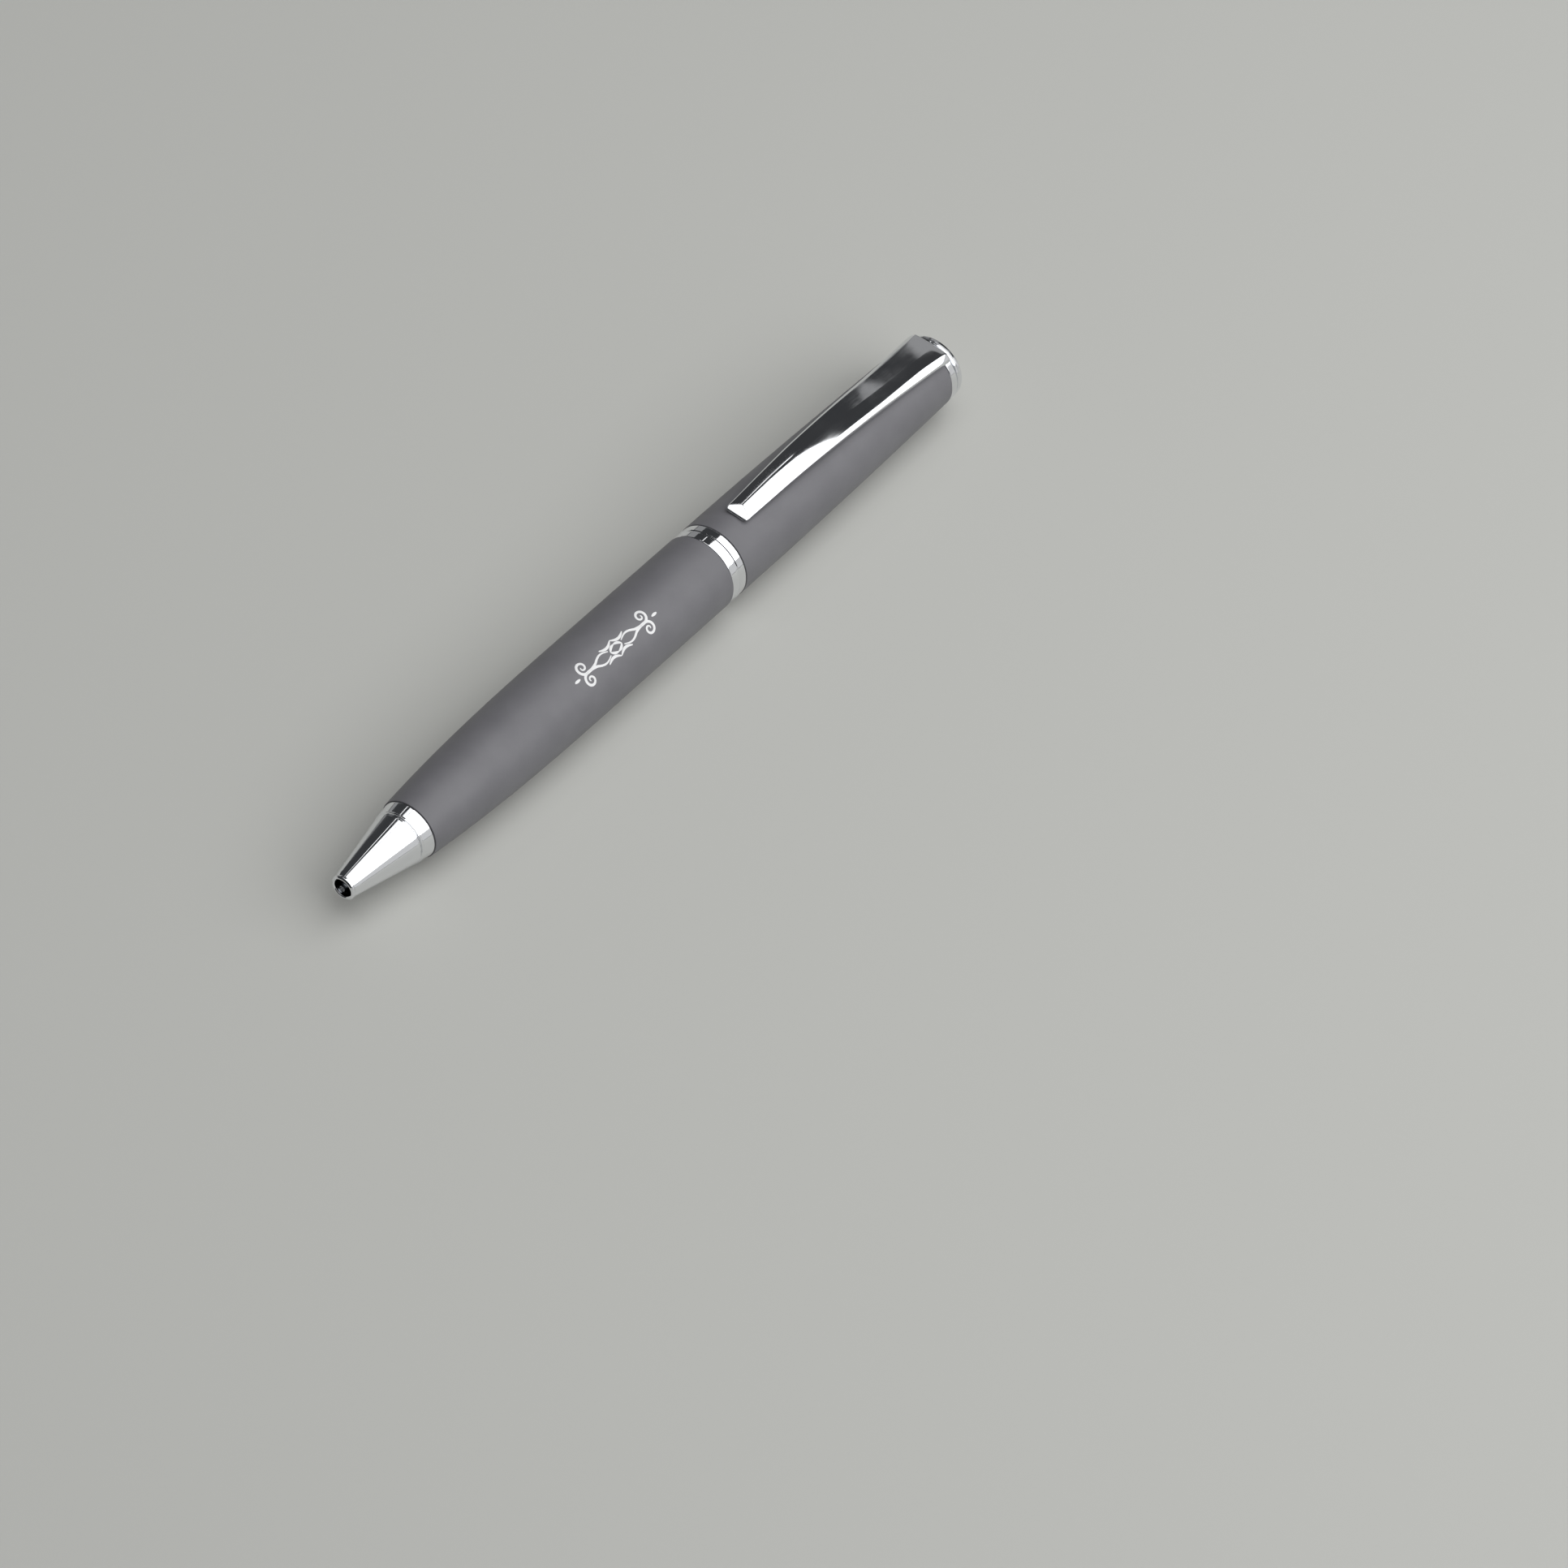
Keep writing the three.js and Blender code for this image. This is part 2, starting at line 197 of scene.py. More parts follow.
def round_axis(station, radius, angle):
    """A place at a radius in mm from the pen's axis, its angle taken from straight up."""
    return at(station), radius * MM * sin(angle), AXIS_Z + radius * MM * cos(angle)


def revolve(points, closed, sides):
    """A mesh of (station, radius) points turned about the pen's axis."""
    shape = bmesh.new()
    rings = []
    for station, radius in points:
        if radius < 1e-6:
            rings.append([shape.verts.new((at(station), 0, AXIS_Z))])
            continue
        rings.append([shape.verts.new(round_axis(station, radius, 2 * pi * k / sides)) for k in range(sides)])
    pairs = list(zip(rings, rings[1:]))
    if closed:
        pairs.append((rings[-1], rings[0]))
    for one, other in pairs:
        for k in range(sides):
            corners = [one[k % len(one)], one[(k + 1) % len(one)],
                       other[(k + 1) % len(other)], other[k % len(other)]]
            corners = list(dict.fromkeys(corners))
            if len(corners) > 2:
                shape.faces.new(corners)
    return shape


def finished(name, shape, material, smooth_below=radians(35)):
    """Turns a bmesh into an object with its faces outwards and its round faces smooth."""
    bmesh.ops.recalc_face_normals(shape, faces=shape.faces)
    mesh = bpy.data.meshes.new(name)
    shape.to_mesh(mesh)
    shape.free()
    mesh.shade_smooth()
    mesh.set_sharp_from_angle(angle=smooth_below)
    mesh.materials.append(material)
    piece = bpy.data.objects.new(name, mesh)
    bpy.context.collection.objects.link(piece)
    return piece


def turned(name, outline, material, closed=True, sides=SIDES):
    """A turned piece, from its outline of (station, radius, rounding) in mm."""
    return finished(name, revolve(softened(outline, closed), closed, sides), material)


def take_place(piece, node, body, finish):
    """The piece stands for the CAD node and moves with its body."""
    piece.name = piece.data.name = f"{finish}_{node}"
    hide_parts(node)
    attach(piece, body)
    return piece


def new_tree(name, kind, takes, gives):
    """A node group with named sockets, and the sockets of its input and output nodes."""
    tree = bpy.data.node_groups.new(name, kind)
    for way, sockets in (("INPUT", takes), ("OUTPUT", gives)):
        for socket, sort in sockets.items():
            tree.interface.new_socket(socket, in_out=way, socket_type="NodeSocket" + sort)
    return tree, tree.nodes.new("NodeGroupInput").outputs, tree.nodes.new("NodeGroupOutput").inputs


def feed(tree, socket, source):
    """Gives an input its source: another node's socket, or a plain value."""
    if isinstance(source, bpy.types.NodeSocket):
        tree.links.new(source, socket)
    else:
        socket.default_value = source


def new_node(tree, kind, settings=None, **sources):
    """A node with its settings made and its named inputs fed."""
    node = tree.nodes.new(kind)
    for name, value in (settings or {}).items():
        setattr(node, name, value)
    for name, source in sources.items():
        feed(tree, node.inputs[name.replace("_", " ")], source)
    return node


def math_node(tree, operation, *sources):
    """The result of one Math node."""
    node = new_node(tree, "ShaderNodeMath", {"operation": operation})
    for socket, source in zip(node.inputs, sources):
        feed(tree, socket, source)
    return node.outputs[0]


def noise(tree, place, size, detail):
    """A soft random pattern over the surface."""
    return new_node(tree, "ShaderNodeTexNoise", Vector=place, Scale=size, Detail=detail).outputs["Fac"]


def mapped(tree, value, **limits):
    """A value moved from one range to another."""
    return new_node(tree, "ShaderNodeMapRange", Value=value, **limits).outputs["Result"]


def two_tone(tree, share, first, second):
    """A colour between two others."""
    mix = new_node(tree, "ShaderNodeMix", {"data_type": "RGBA"}, Factor=share, A=first, B=second)
    return mix.outputs["Result"]


def group_node(tree, group, **values):
    """A node group placed in a material with its own values."""
    return new_node(tree, "ShaderNodeGroup", {"node_tree": group}, **values)


def smudge_group():
    """Mask of soft handling marks and fine hairlines, for polished surfaces."""
    tree, given, result = new_tree("handling_marks", "ShaderNodeTree", dict.fromkeys(
        ("Mark Size", "Hairline Size", "Low", "High"), "Float"), {"Value": "Float"})
    place = new_node(tree, "ShaderNodeTexCoord").outputs["Object"]
    marks = noise(tree, place, given["Mark Size"], 3)
    stretch = new_node(tree, "ShaderNodeMapping", Vector=place, Scale=(0.08, 1, 1))
    hairlines = noise(tree, stretch.outputs["Vector"], given["Hairline Size"], 4)
    both = math_node(tree, "MULTIPLY_ADD", hairlines, 0.35, marks)
    roughness = mapped(tree, both, From_Min=0.5, From_Max=0.95, To_Min=given["Low"], To_Max=given["High"])
    feed(tree, result["Value"], roughness)
    return tree


def hollow_shade_group():
    """Mask of painted shade in grooves and inner corners, taken from the surface's concavity and broken into
    uneven patches.
    """
    tree, given, result = new_tree("settled_residue", "ShaderNodeTree",
                                   {"Deep": "Float", "Patch Size": "Float"}, {"Mask": "Float"})
    place = new_node(tree, "ShaderNodeTexCoord").outputs["Object"]
    pointiness = new_node(tree, "ShaderNodeNewGeometry").outputs["Pointiness"]
    hollows = mapped(tree, pointiness, From_Min=0.495, From_Max=given["Deep"])
    patches = noise(tree, place, given["Patch Size"], 3)
    uneven = mapped(tree, patches, From_Min=0.25, From_Max=0.6, To_Min=0.45)
    feed(tree, result["Mask"], math_node(tree, "MULTIPLY", hollows, uneven))
    return tree


handling_marks = smudge_group()
# Painted shade for the grooves and inner corners of polished metal.
settled_residue = hollow_shade_group()

CHROME_COLOUR = (0.83, 0.84, 0.86, 1)
# Dark tone of the painted shade in the chrome's grooves and inner corners.
CHROME_PAINTED_SHADE = (0.30, 0.30, 0.31, 1)

chrome, chrome_tree, chrome_shader = new_material("polished_chromium")
chrome_shader.inputs["Metallic"].default_value = 1
# Painted shade: the chrome's colour darkens towards the dark tone in grooves and inner corners.
chrome_hollow_shade = group_node(chrome_tree, settled_residue, Deep=0.465, Patch_Size=900.0)
chrome_tone = two_tone(chrome_tree, chrome_hollow_shade.outputs["Mask"], CHROME_COLOUR, CHROME_PAINTED_SHADE)
feed(chrome_tree, chrome_shader.inputs["Base Color"], chrome_tone)
chrome_marks = group_node(chrome_tree, handling_marks,
                          Mark_Size=180.0, Hairline_Size=5200.0, Low=0.035, High=0.13)
feed(chrome_tree, chrome_shader.inputs["Roughness"], chrome_marks.outputs["Value"])

nose = turned("nose_cone", [
    (0.12, 1.40, 0.06),
    (0.0, 1.54, 0.08),
    (0.0, 1.66, 0.08),
    (0.20, 1.90, 0.14),
    (0.44, 1.90, 0.10),
    (0.60, 1.78, 0.06),
    (1.2, 1.99, 0.3),
    (11.62, 4.07, 0.04),
    (11.72, 3.90, 0.04),
    (11.92, 3.92, 0.04),
    (12.02, 4.22, 0.10),
    (12.26, 4.22, 0.06),
    (12.34, 4.15, 0.04),
    (14.10, 4.48, 0.06),
    (14.10, 3.72, 0.03),
    (14.6, 3.62, 0.03),
    (21.0, 3.62, 0.15),
    (21.0, 3.2, 0.1),
    (10.8, 3.2, 0.3),
    (6.2, 2.45, 0.0),
    (6.2, 1.85, 0.05),
    (2.9, 1.85, 0.1),
    (2.4, 1.38, 0.1),
    (0.5, 1.38, 0.2),
], chrome)
take_place(nose, "nose_cone", "lower_half", "chrome")


# ---------------------------------------------------------------------------------------------
# Lower barrel: a drawn brass tube that swells towards the middle, sprayed with a satin slate
# lacquer that holds very fine metal flakes. The front is threaded for the nose.
# ---------------------------------------------------------------------------------------------
BARREL_FRONT = 14.2
BARREL_REAR = 134.3
BARREL_RADIUS = 6.04
FRONT_RADIUS = 4.62
REAR_RADIUS = 5.37
SWELL_START = 56.0
SWELL_END = 92.0
FRONT_FULLNESS = 2.9
REAR_FULLNESS = 1.5
END_ROUNDING = 0.08
SPLIT = 79.4
LACQUER_COLOUR = (0.147, 0.1455, 0.158, 1)
LACQUER_LIGHT = (0.196, 0.195, 0.208, 1)


def barrel_radius(station):
    """The barrel swells from the nose to the middle, runs straight, then narrows to the top."""
    if station < SWELL_START:
        away = (SWELL_START - station) / (SWELL_START - BARREL_FRONT)
        return BARREL_RADIUS - (BARREL_RADIUS - FRONT_RADIUS) * away ** FRONT_FULLNESS
    if station > SWELL_END:
        away = (station - SWELL_END) / (BARREL_REAR - SWELL_END)
        return BARREL_RADIUS - (BARREL_RADIUS - REAR_RADIUS) * away ** REAR_FULLNESS
    return BARREL_RADIUS


def barrel_outline(start, end, steps):
    """Evenly spaced points along the barrel's outside."""
    stations = [start + (end - start) * i / steps for i in range(steps + 1)]
    return [(station, barrel_radius(station), 0.0) for station in stations]


def softened_ends(outline):
    """The same outline with its first and last corner rounded."""
    first, last = outline[0], outline[-1]
    return [(*first[:2], END_ROUNDING)] + outline[1:-1] + [(*last[:2], END_ROUNDING)]


def flake_group():
    """Fine bright flakes and a slow change of tone, for a sprayed finish."""
    tree, given, result = new_tree("sprayed_flakes", "ShaderNodeTree",
                                   {"Base": "Color", "Light": "Color", "Flake Size": "Float"},
                                   {"Colour": "Color", "Roughness": "Float", "Height": "Float"})
    place = new_node(tree, "ShaderNodeTexCoord").outputs["Object"]
    cells = new_node(tree, "ShaderNodeTexVoronoi", Vector=place, Scale=given["Flake Size"])
    flakes = mapped(tree, cells.outputs["Distance"], From_Min=0.25, From_Max=0.05)
    grain = noise(tree, place, 9000, 2)
    clouds = mapped(tree, noise(tree, place, 220, 5), From_Min=0.35, From_Max=0.7, To_Max=0.35)
    tone = math_node(tree, "ADD", math_node(tree, "MULTIPLY", flakes, grain), clouds)
    tone.node.use_clamp = True
    feed(tree, result["Colour"], two_tone(tree, tone, given["Base"], given["Light"]))
    feed(tree, result["Roughness"], mapped(tree, grain, To_Min=0.44, To_Max=0.54))
    feed(tree, result["Height"], grain)
    return tree


sprayed_flakes = flake_group()


def worked_material(name, group, metallic, bump_strength, bump_distance, **values):
    """A material whose colour, roughness and height come from one of the groups."""
    material, tree, shader = new_material(name)
    shader.inputs["Metallic"].default_value = metallic
    coat = group_node(tree, group, **values)
    bump = new_node(tree, "ShaderNodeBump", Strength=bump_strength, Distance=bump_distance,
                    Height=coat.outputs["Height"])
    feed(tree, shader.inputs["Base Color"], coat.outputs["Colour"])
    feed(tree, shader.inputs["Roughness"], coat.outputs["Roughness"])
    feed(tree, shader.inputs["Normal"], bump.outputs["Normal"])
    return material


lacquer = worked_material("slate_lacquer", sprayed_flakes, 0, 0.15, 0.01 * MM,
                          Base=LACQUER_COLOUR, Light=LACQUER_LIGHT, Flake_Size=6500.0)
lower_barrel = turned("lower_barrel", softened_ends(barrel_outline(BARREL_FRONT, SPLIT, 48)) + [
    (SPLIT, 5.4, 0.05),
    (44.0, 5.4, 2.0),
    (30.0, 5.05, 2.0),
    (23.5, 4.5, 0.3),
    (22.0, 3.95, 0.2),
    (BARREL_FRONT, 3.95, 0.1),
], lacquer)
take_place(lower_barrel, "lower_barrel", "lower_half", "lacquer")


# ---------------------------------------------------------------------------------------------
# Upper barrel: the same drawn and lacquered tube. The clip's foot drops through a notch in its
# top edge, hidden under the clip.
# ---------------------------------------------------------------------------------------------
UPPER_FRONT = 82.6

upper_barrel = turned("upper_barrel", softened_ends(barrel_outline(UPPER_FRONT, BARREL_REAR, 40)) + [
    (BARREL_REAR, 4.85, 0.05),
    (118.0, 4.85, 0.1),
    (117.9, 5.2, 0.0),
    (UPPER_FRONT, 5.2, 0.05),
], lacquer)
take_place(upper_barrel, "upper_barrel", "upper_half", "lacquer")


# ---------------------------------------------------------------------------------------------
# Centre ring, clip ring and finial: turned brass, chromium plated like the nose. The finial's
# stud screws into the top of the barrel and clamps the clip ring under it.
# ---------------------------------------------------------------------------------------------
centre_ring = turned("centre_ring", [
    (79.5, 4.6, 0.05),
    (79.5, 5.98, 0.12),
    (80.75, 6.0, 0.02),
    (80.85, 5.88, 0.02),
    (81.15, 5.88, 0.02),
    (81.25, 6.0, 0.02),
    (82.5, 5.98, 0.12),
    (82.5, 4.6, 0.05),
], chrome)
take_place(centre_ring, "centre_ring", "upper_half", "chrome")

clip_ring = turned("clip_ring", [
    (134.4, 1.7, 0.05),
    (134.4, 5.18, 0.05),
    (134.52, 5.34, 0.06),
    (135.62, 5.31, 0.08),
    (135.78, 5.10, 0.05),
    (135.78, 1.7, 0.05),
], chrome)
take_place(clip_ring, "clip_ring", "upper_half", "chrome")

finial = turned("finial", [
    (131.0, 0.0, 0.0),
    (131.0, 1.3, 0.15),
    (135.95, 1.3, 0.1),
    (135.95, 4.95, 0.05),
    (136.05, 5.22, 0.08),
    (136.25, 5.27, 0.08),
    (136.36, 5.12, 0.03),
    (136.44, 5.12, 0.03),
    (136.52, 5.24, 0.06),
    (137.0, 5.20, 0.3),
    (137.75, 4.35, 0.7),
    (138.0, 2.6, 2.0),
    (138.0, 0.0, 0.0),
], chrome, closed=False)
take_place(finial, "finial", "upper_half", "chrome")


# ---------------------------------------------------------------------------------------------
# Clip: one spring-bronze bar, pressed to a shallow crown with bevelled sides and chromium plated.
# It is widest at the top, where a foot hooks it in, and a sloping face cuts off its free end.
# ---------------------------------------------------------------------------------------------
# Each row: station, ridge height above the pen's axis, half width, bevel width, bevel drop, side
# height, thickness, how far the ridge lies off the middle as a share of the half width, and crown.
CLIP_ROWS = [
    (86.60, 6.98, 1.52, 0.12, 0.09, 0.58, 0.70, -0.10, 0.26),
    (86.74, 6.99, 1.70, 0.14, 0.10, 0.60, 0.70, -0.11, 0.26),
    (86.95, 7.00, 1.82, 0.16, 0.11, 0.60, 0.70, -0.12, 0.26),
    (87.30, 7.02, 1.88, 0.17, 0.12, 0.61, 0.70, -0.14, 0.26),
    (88.00, 7.06, 1.88, 0.18, 0.13, 0.64, 0.74, -0.15, 0.26),
    (88.60, 7.10, 1.90, 0.18, 0.14, 0.66, 0.78, -0.16, 0.26),
    (90.00, 7.20, 1.95, 0.20, 0.15, 0.70, 0.86, -0.16, 0.26),
    (93.00, 7.44, 2.06, 0.22, 0.18, 0.72, 0.95, -0.16, 0.26),
    (97.00, 7.74, 2.20, 0.28, 0.22, 0.78, 1.00, -0.15, 0.26),
    (101.5, 7.92, 2.36, 0.30, 0.24, 0.86, 1.00, -0.12, 0.26),
    (106.5, 7.88, 2.50, 0.34, 0.28, 0.96, 1.00, -0.08, 0.22),
    (111.6, 7.71, 2.64, 0.42, 0.34, 1.06, 1.00, -0.02, 0.15),
    (117.0, 7.40, 2.78, 0.52, 0.40, 1.16, 1.00, 0.04, 0.10),
    (121.9, 7.08, 2.92, 0.66, 0.46, 1.24, 1.00, 0.10, 0.07),
    (126.5, 6.84, 3.12, 0.82, 0.54, 1.32, 1.00, 0.16, 0.06),
    (130.5, 6.66, 3.32, 0.88, 0.60, 1.40, 1.00, 0.20, 0.06),
    (133.2, 6.50, 3.45, 0.82, 0.63, 1.46, 1.00, 0.22, 0.06),
    (134.6, 6.36, 3.50, 0.74, 0.65, 1.48, 1.00, 0.24, 0.06),
    (134.8, 6.26, 3.48, 0.74, 0.64, 1.40, 0.92, 0.24, 0.06),
]
CLIP_STEPS_PER_ROW = 8
CLIP_CLEARANCE = 0.22
CROWN_STEPS = 12
CROWN_CROWDING = 0.3
CROWN_FALL = 1.6
# The bevel's points, as shares of its width and of its drop.
BEVEL = [(0.03, 0.01), (0.12, 0.08), (0.50, 0.46), (0.90, 0.90), (0.97, 0.98), (1, 1.10)]
# The side's last points: how far in from the side, and how far above its lower edge.
LOWER_EDGE = [(0, 0.03), (0.02, 0), (0.10, -0.02)]
BELLY_INSET = 0.45
TIP_HEIGHT = 6.52
TIP_SLOPE = 0.32
TIP_ROUNDING = 0.22
TIP_ROUNDING_DROP = 0.6
TIP_SPARE = 0.3
TIP_STAGGER = 0.004


def through_rows(rows, steps):
    """Rows on a smooth curve through the given ones."""
    out = []
    for i in range(len(rows) - 1):
        a, b, c, d = rows[max(i - 1, 0)], rows[i], rows[i + 1], rows[min(i + 2, len(rows) - 1)]
        for step in range(steps):
            t = step / steps
            row = [b[0] + (c[0] - b[0]) * t]
            for k in range(1, len(b)):
                slope_b = (c[k] - a[k]) / (c[0] - a[0]) * (c[0] - b[0])
                slope_c = (d[k] - b[k]) / (d[0] - b[0]) * (c[0] - b[0])
                rise = c[k] - b[k]
                row.append(b[k] + slope_b * t + (3 * rise - 2 * slope_b - slope_c) * t ** 2
                           + (slope_b + slope_c - 2 * rise) * t ** 3)
            out.append(row)
    out.append(list(rows[-1]))
    return out


def tip_height(station):
    """Height of the sloping face that cuts off the clip's free end."""
    back = station - CLIP_ROWS[0][0]
    rounding = max(0, 1 - back / TIP_ROUNDING) ** 2 * TIP_ROUNDING * TIP_ROUNDING_DROP
    return TIP_HEIGHT + TIP_SLOPE * back - rounding


def clip_section(row):
    """One cross-section of the clip, as (across, height) points in mm, going round once."""
    station, top, half, bevel, drop, side, thickness, shift, bow = row
    clear = barrel_radius(min(station, BARREL_REAR)) + CLIP_CLEARANCE
    tip = tip_height(station)

    def under(y):
        """Height of the clip's underside, which keeps clear of the barrel."""
        return max(min(top, tip + TIP_SPARE) - thickness, sqrt(max(clear ** 2 - y ** 2, 0)))

    edge = half - bevel
    ridge = -shift * edge
    crown = []
    for i in range(-CROWN_STEPS, CROWN_STEPS + 1):
        part = i / CROWN_STEPS
        reach = edge - ridge if i > 0 else edge + ridge
        across = ridge + reach * part * abs(part) ** CROWN_CROWDING
        crown.append((across, top - bow * abs(part) ** CROWN_FALL))
    flank = [(edge + out * bevel, top - bow - down * drop) for out, down in BEVEL]
    flank += [(half - inwards, top - side + above) for inwards, above in LOWER_EDGE]
    flank = [(y, min(z, tip - TIP_STAGGER * i)) for i, (y, z) in enumerate(flank)]
    crown = [(y, min(z, tip)) for y, z in crown]
    belly = [(y, under(y)) for y in ((half - BELLY_INSET) * i / 4 for i in range(4, -5, -1))]
    mirror = [(-y, z) for y, z in reversed(flank)]
    return crown + flank + belly + mirror


def skinned(shape, rings):
    """Joins each ring of corners to the next with faces, and closes both ends."""
    for one, other in zip(rings, rings[1:]):
        for k in range(len(one)):
            following = (k + 1) % len(one)
            shape.faces.new((one[k], one[following], other[following], other[k]))
    shape.faces.new(rings[0])
    shape.faces.new(rings[-1])


clip_shape = bmesh.new()
clip_rings = []
for row in through_rows(CLIP_ROWS, CLIP_STEPS_PER_ROW):
    corners = [(at(row[0]), y * MM, AXIS_Z + z * MM) for y, z in clip_section(row)]
    clip_rings.append([clip_shape.verts.new(corner) for corner in corners])
skinned(clip_shape, clip_rings)
clip = finished("clip", clip_shape, chrome, radians(50))
take_place(clip, "clip", "clip", "chrome")


# ---------------------------------------------------------------------------------------------
# Printed motif: a mirrored scroll ornament in white ink with a small lozenge in its middle, pad
# printed on the lower barrel on the side that faces the user.
# ---------------------------------------------------------------------------------------------
MOTIF_CENTRE = 55.5
MOTIF_TURN = radians(26)
INK_WIDTH = 0.42
INK_HEIGHT = 0.012
INK_FLAT = 0.8
STROKE_END = 0.35
STROKE_FULLNESS = 0.8
CURL_WINDS_IN = 0.86
WHITE_INK = (0.78, 0.78, 0.79, 1)
WHITE_INK_LIGHT = (0.9, 0.9, 0.9, 1)


def volute(centre, radius, start, turns, steps=70):
    """A curl that winds in to its centre from the given angle."""
    path = []
    for i in range(steps + 1):
        angle = start + 2 * pi * turns * i / steps
        reach = radius * (1 - CURL_WINDS_IN * i / steps)
        path.append(Vector(centre) + Vector((cos(angle), sin(angle))) * reach)
    return path


def bowed(start, end, bow, steps=40):
    """A curved stroke between two points that bows out to one side."""
    start, end = Vector(start), Vector(end)
    out = Vector((start.y - end.y, end.x - start.x)) * bow
    return [start + (end - start) * i / steps + out * sin(pi * i / steps) for i in range(steps + 1)]


def four_ways(path):
    """The path and its mirror images left and right, and above and below."""
    return [[Vector((x * point.x, y * point.y)) for point in path] for x in (1, -1) for y in (1, -1)]


def ink_ribbon(shape, path):
    """Adds a thin closed ribbon along a flat path, wrapped round the barrel."""
    rings = []
    last = len(path) - 1
    for i, point in enumerate(path):
        way = (path[min(i + 1, last)] - path[max(i - 1, 0)]).normalized()
        taper = STROKE_END + (1 - STROKE_END) * sin(pi * i / last) ** STROKE_FULLNESS
        side = Vector((-way.y, way.x)) * INK_WIDTH * taper / 2
        ring = []
        for share, lift in ((-1, 0), (-INK_FLAT, INK_HEIGHT), (INK_FLAT, INK_HEIGHT), (1, 0)):
            edge = point + share * side
            station = MOTIF_CENTRE + edge.x
            surface = barrel_radius(station)
            angle = edge.y / surface - MOTIF_TURN
            ring.append(shape.verts.new(round_axis(station, surface + lift, angle)))
        rings.append(ring)
    skinned(shape, rings)


ink, ink_tree, ink_shader = new_material("white_ink")
ink_shader.inputs["Roughness"].default_value = 0.45
ink_coat = group_node(ink_tree, sprayed_flakes, Base=WHITE_INK, Light=WHITE_INK_LIGHT, Flake_Size=9000.0)
feed(ink_tree, ink_shader.inputs["Base Color"], ink_coat.outputs["Colour"])
motif_shape = bmesh.new()
curl = volute((6.6, 1.05), 1.05, radians(-90), 1.35)
stem = bowed((1.5, 0.35), (4.4, 0.25), 0.16) + bowed((4.4, 0.25), (6.6, 0.0), -0.05)[1:]
strokes = four_ways(stem + curl[1:])
strokes += four_ways(bowed((0.0, 1.35), (2.6, 1.2), -0.18))
strokes += four_ways(bowed((0.0, 0.62), (1.25, 0.0), 0.12))
strokes += [[Vector((side * (8.1 + 1.1 * i / 10), 0)) for i in range(11)] for side in (-1, 1)]
for path in strokes:
    ink_ribbon(motif_shape, path)
motif = finished("printed_scroll", motif_shape, ink)
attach(motif, "lower_half")


# ---------------------------------------------------------------------------------------------
# Lower bush and mechanism collar: turned brass. The bush is pressed into the lower barrel, and
# the collar screws into it and is the journal that the upper half turns on, with a seal groove.
# ---------------------------------------------------------------------------------------------
def tool_mark_group():
    """Fine rings left by the turning tool, with a slow change of tone and stain.

    Ring Rate is in radians along the pen, so a pitch gives a rate of a full turn over it.
    """
    tree, given, result = new_tree(
        "tool_marks", "ShaderNodeTree",
        {"Base": "Color", "Stain": "Color", "Ring Rate": "Float", "Low": "Float", "High": "Float"},
        {"Colour": "Color", "Roughness": "Float", "Height": "Float"})
    place = new_node(tree, "ShaderNodeTexCoord").outputs["Object"]
    along = new_node(tree, "ShaderNodeSeparateXYZ", Vector=place).outputs["X"]
    clouds = noise(tree, place, 450, 5)
    stain = mapped(tree, clouds, From_Min=0.45, From_Max=0.75)
    rough = mapped(tree, clouds, From_Min=0.3, From_Max=0.7, To_Min=given["Low"], To_Max=given["High"])
    feed(tree, result["Colour"], two_tone(tree, stain, given["Base"], given["Stain"]))
    feed(tree, result["Roughness"], rough)
    rings = math_node(tree, "MULTIPLY", along, given["Ring Rate"])
    feed(tree, result["Height"], math_node(tree, "SINE", rings))
    return tree


tool_marks = tool_mark_group()


def ring_rate(pitch):
    """Radians per metre of tool marks at a pitch in mm."""
    return 2 * pi / (pitch * MM)


brass = worked_material("turned_brass", tool_marks, 1, 0.25, 0.004 * MM, Base=(0.70, 0.52, 0.25, 1),
                        Stain=(0.52, 0.37, 0.17, 1), Ring_Rate=ring_rate(0.09), Low=0.2, High=0.36)

WIRE_SIDES = 10
CLOSE_WOUND = 2.04
STEPS_PER_TURN = 40
THREAD_WIRE = 0.28


def ended(tree, shape, material, result):
    """The end of a Geometry Nodes tree: real geometry with its material on."""
    real = new_node(tree, "GeometryNodeRealizeInstances", Geometry=shape).outputs["Geometry"]
    painted = new_node(tree, "GeometryNodeSetMaterial", Geometry=real, Material=material)
    feed(tree, result, painted.outputs["Geometry"])


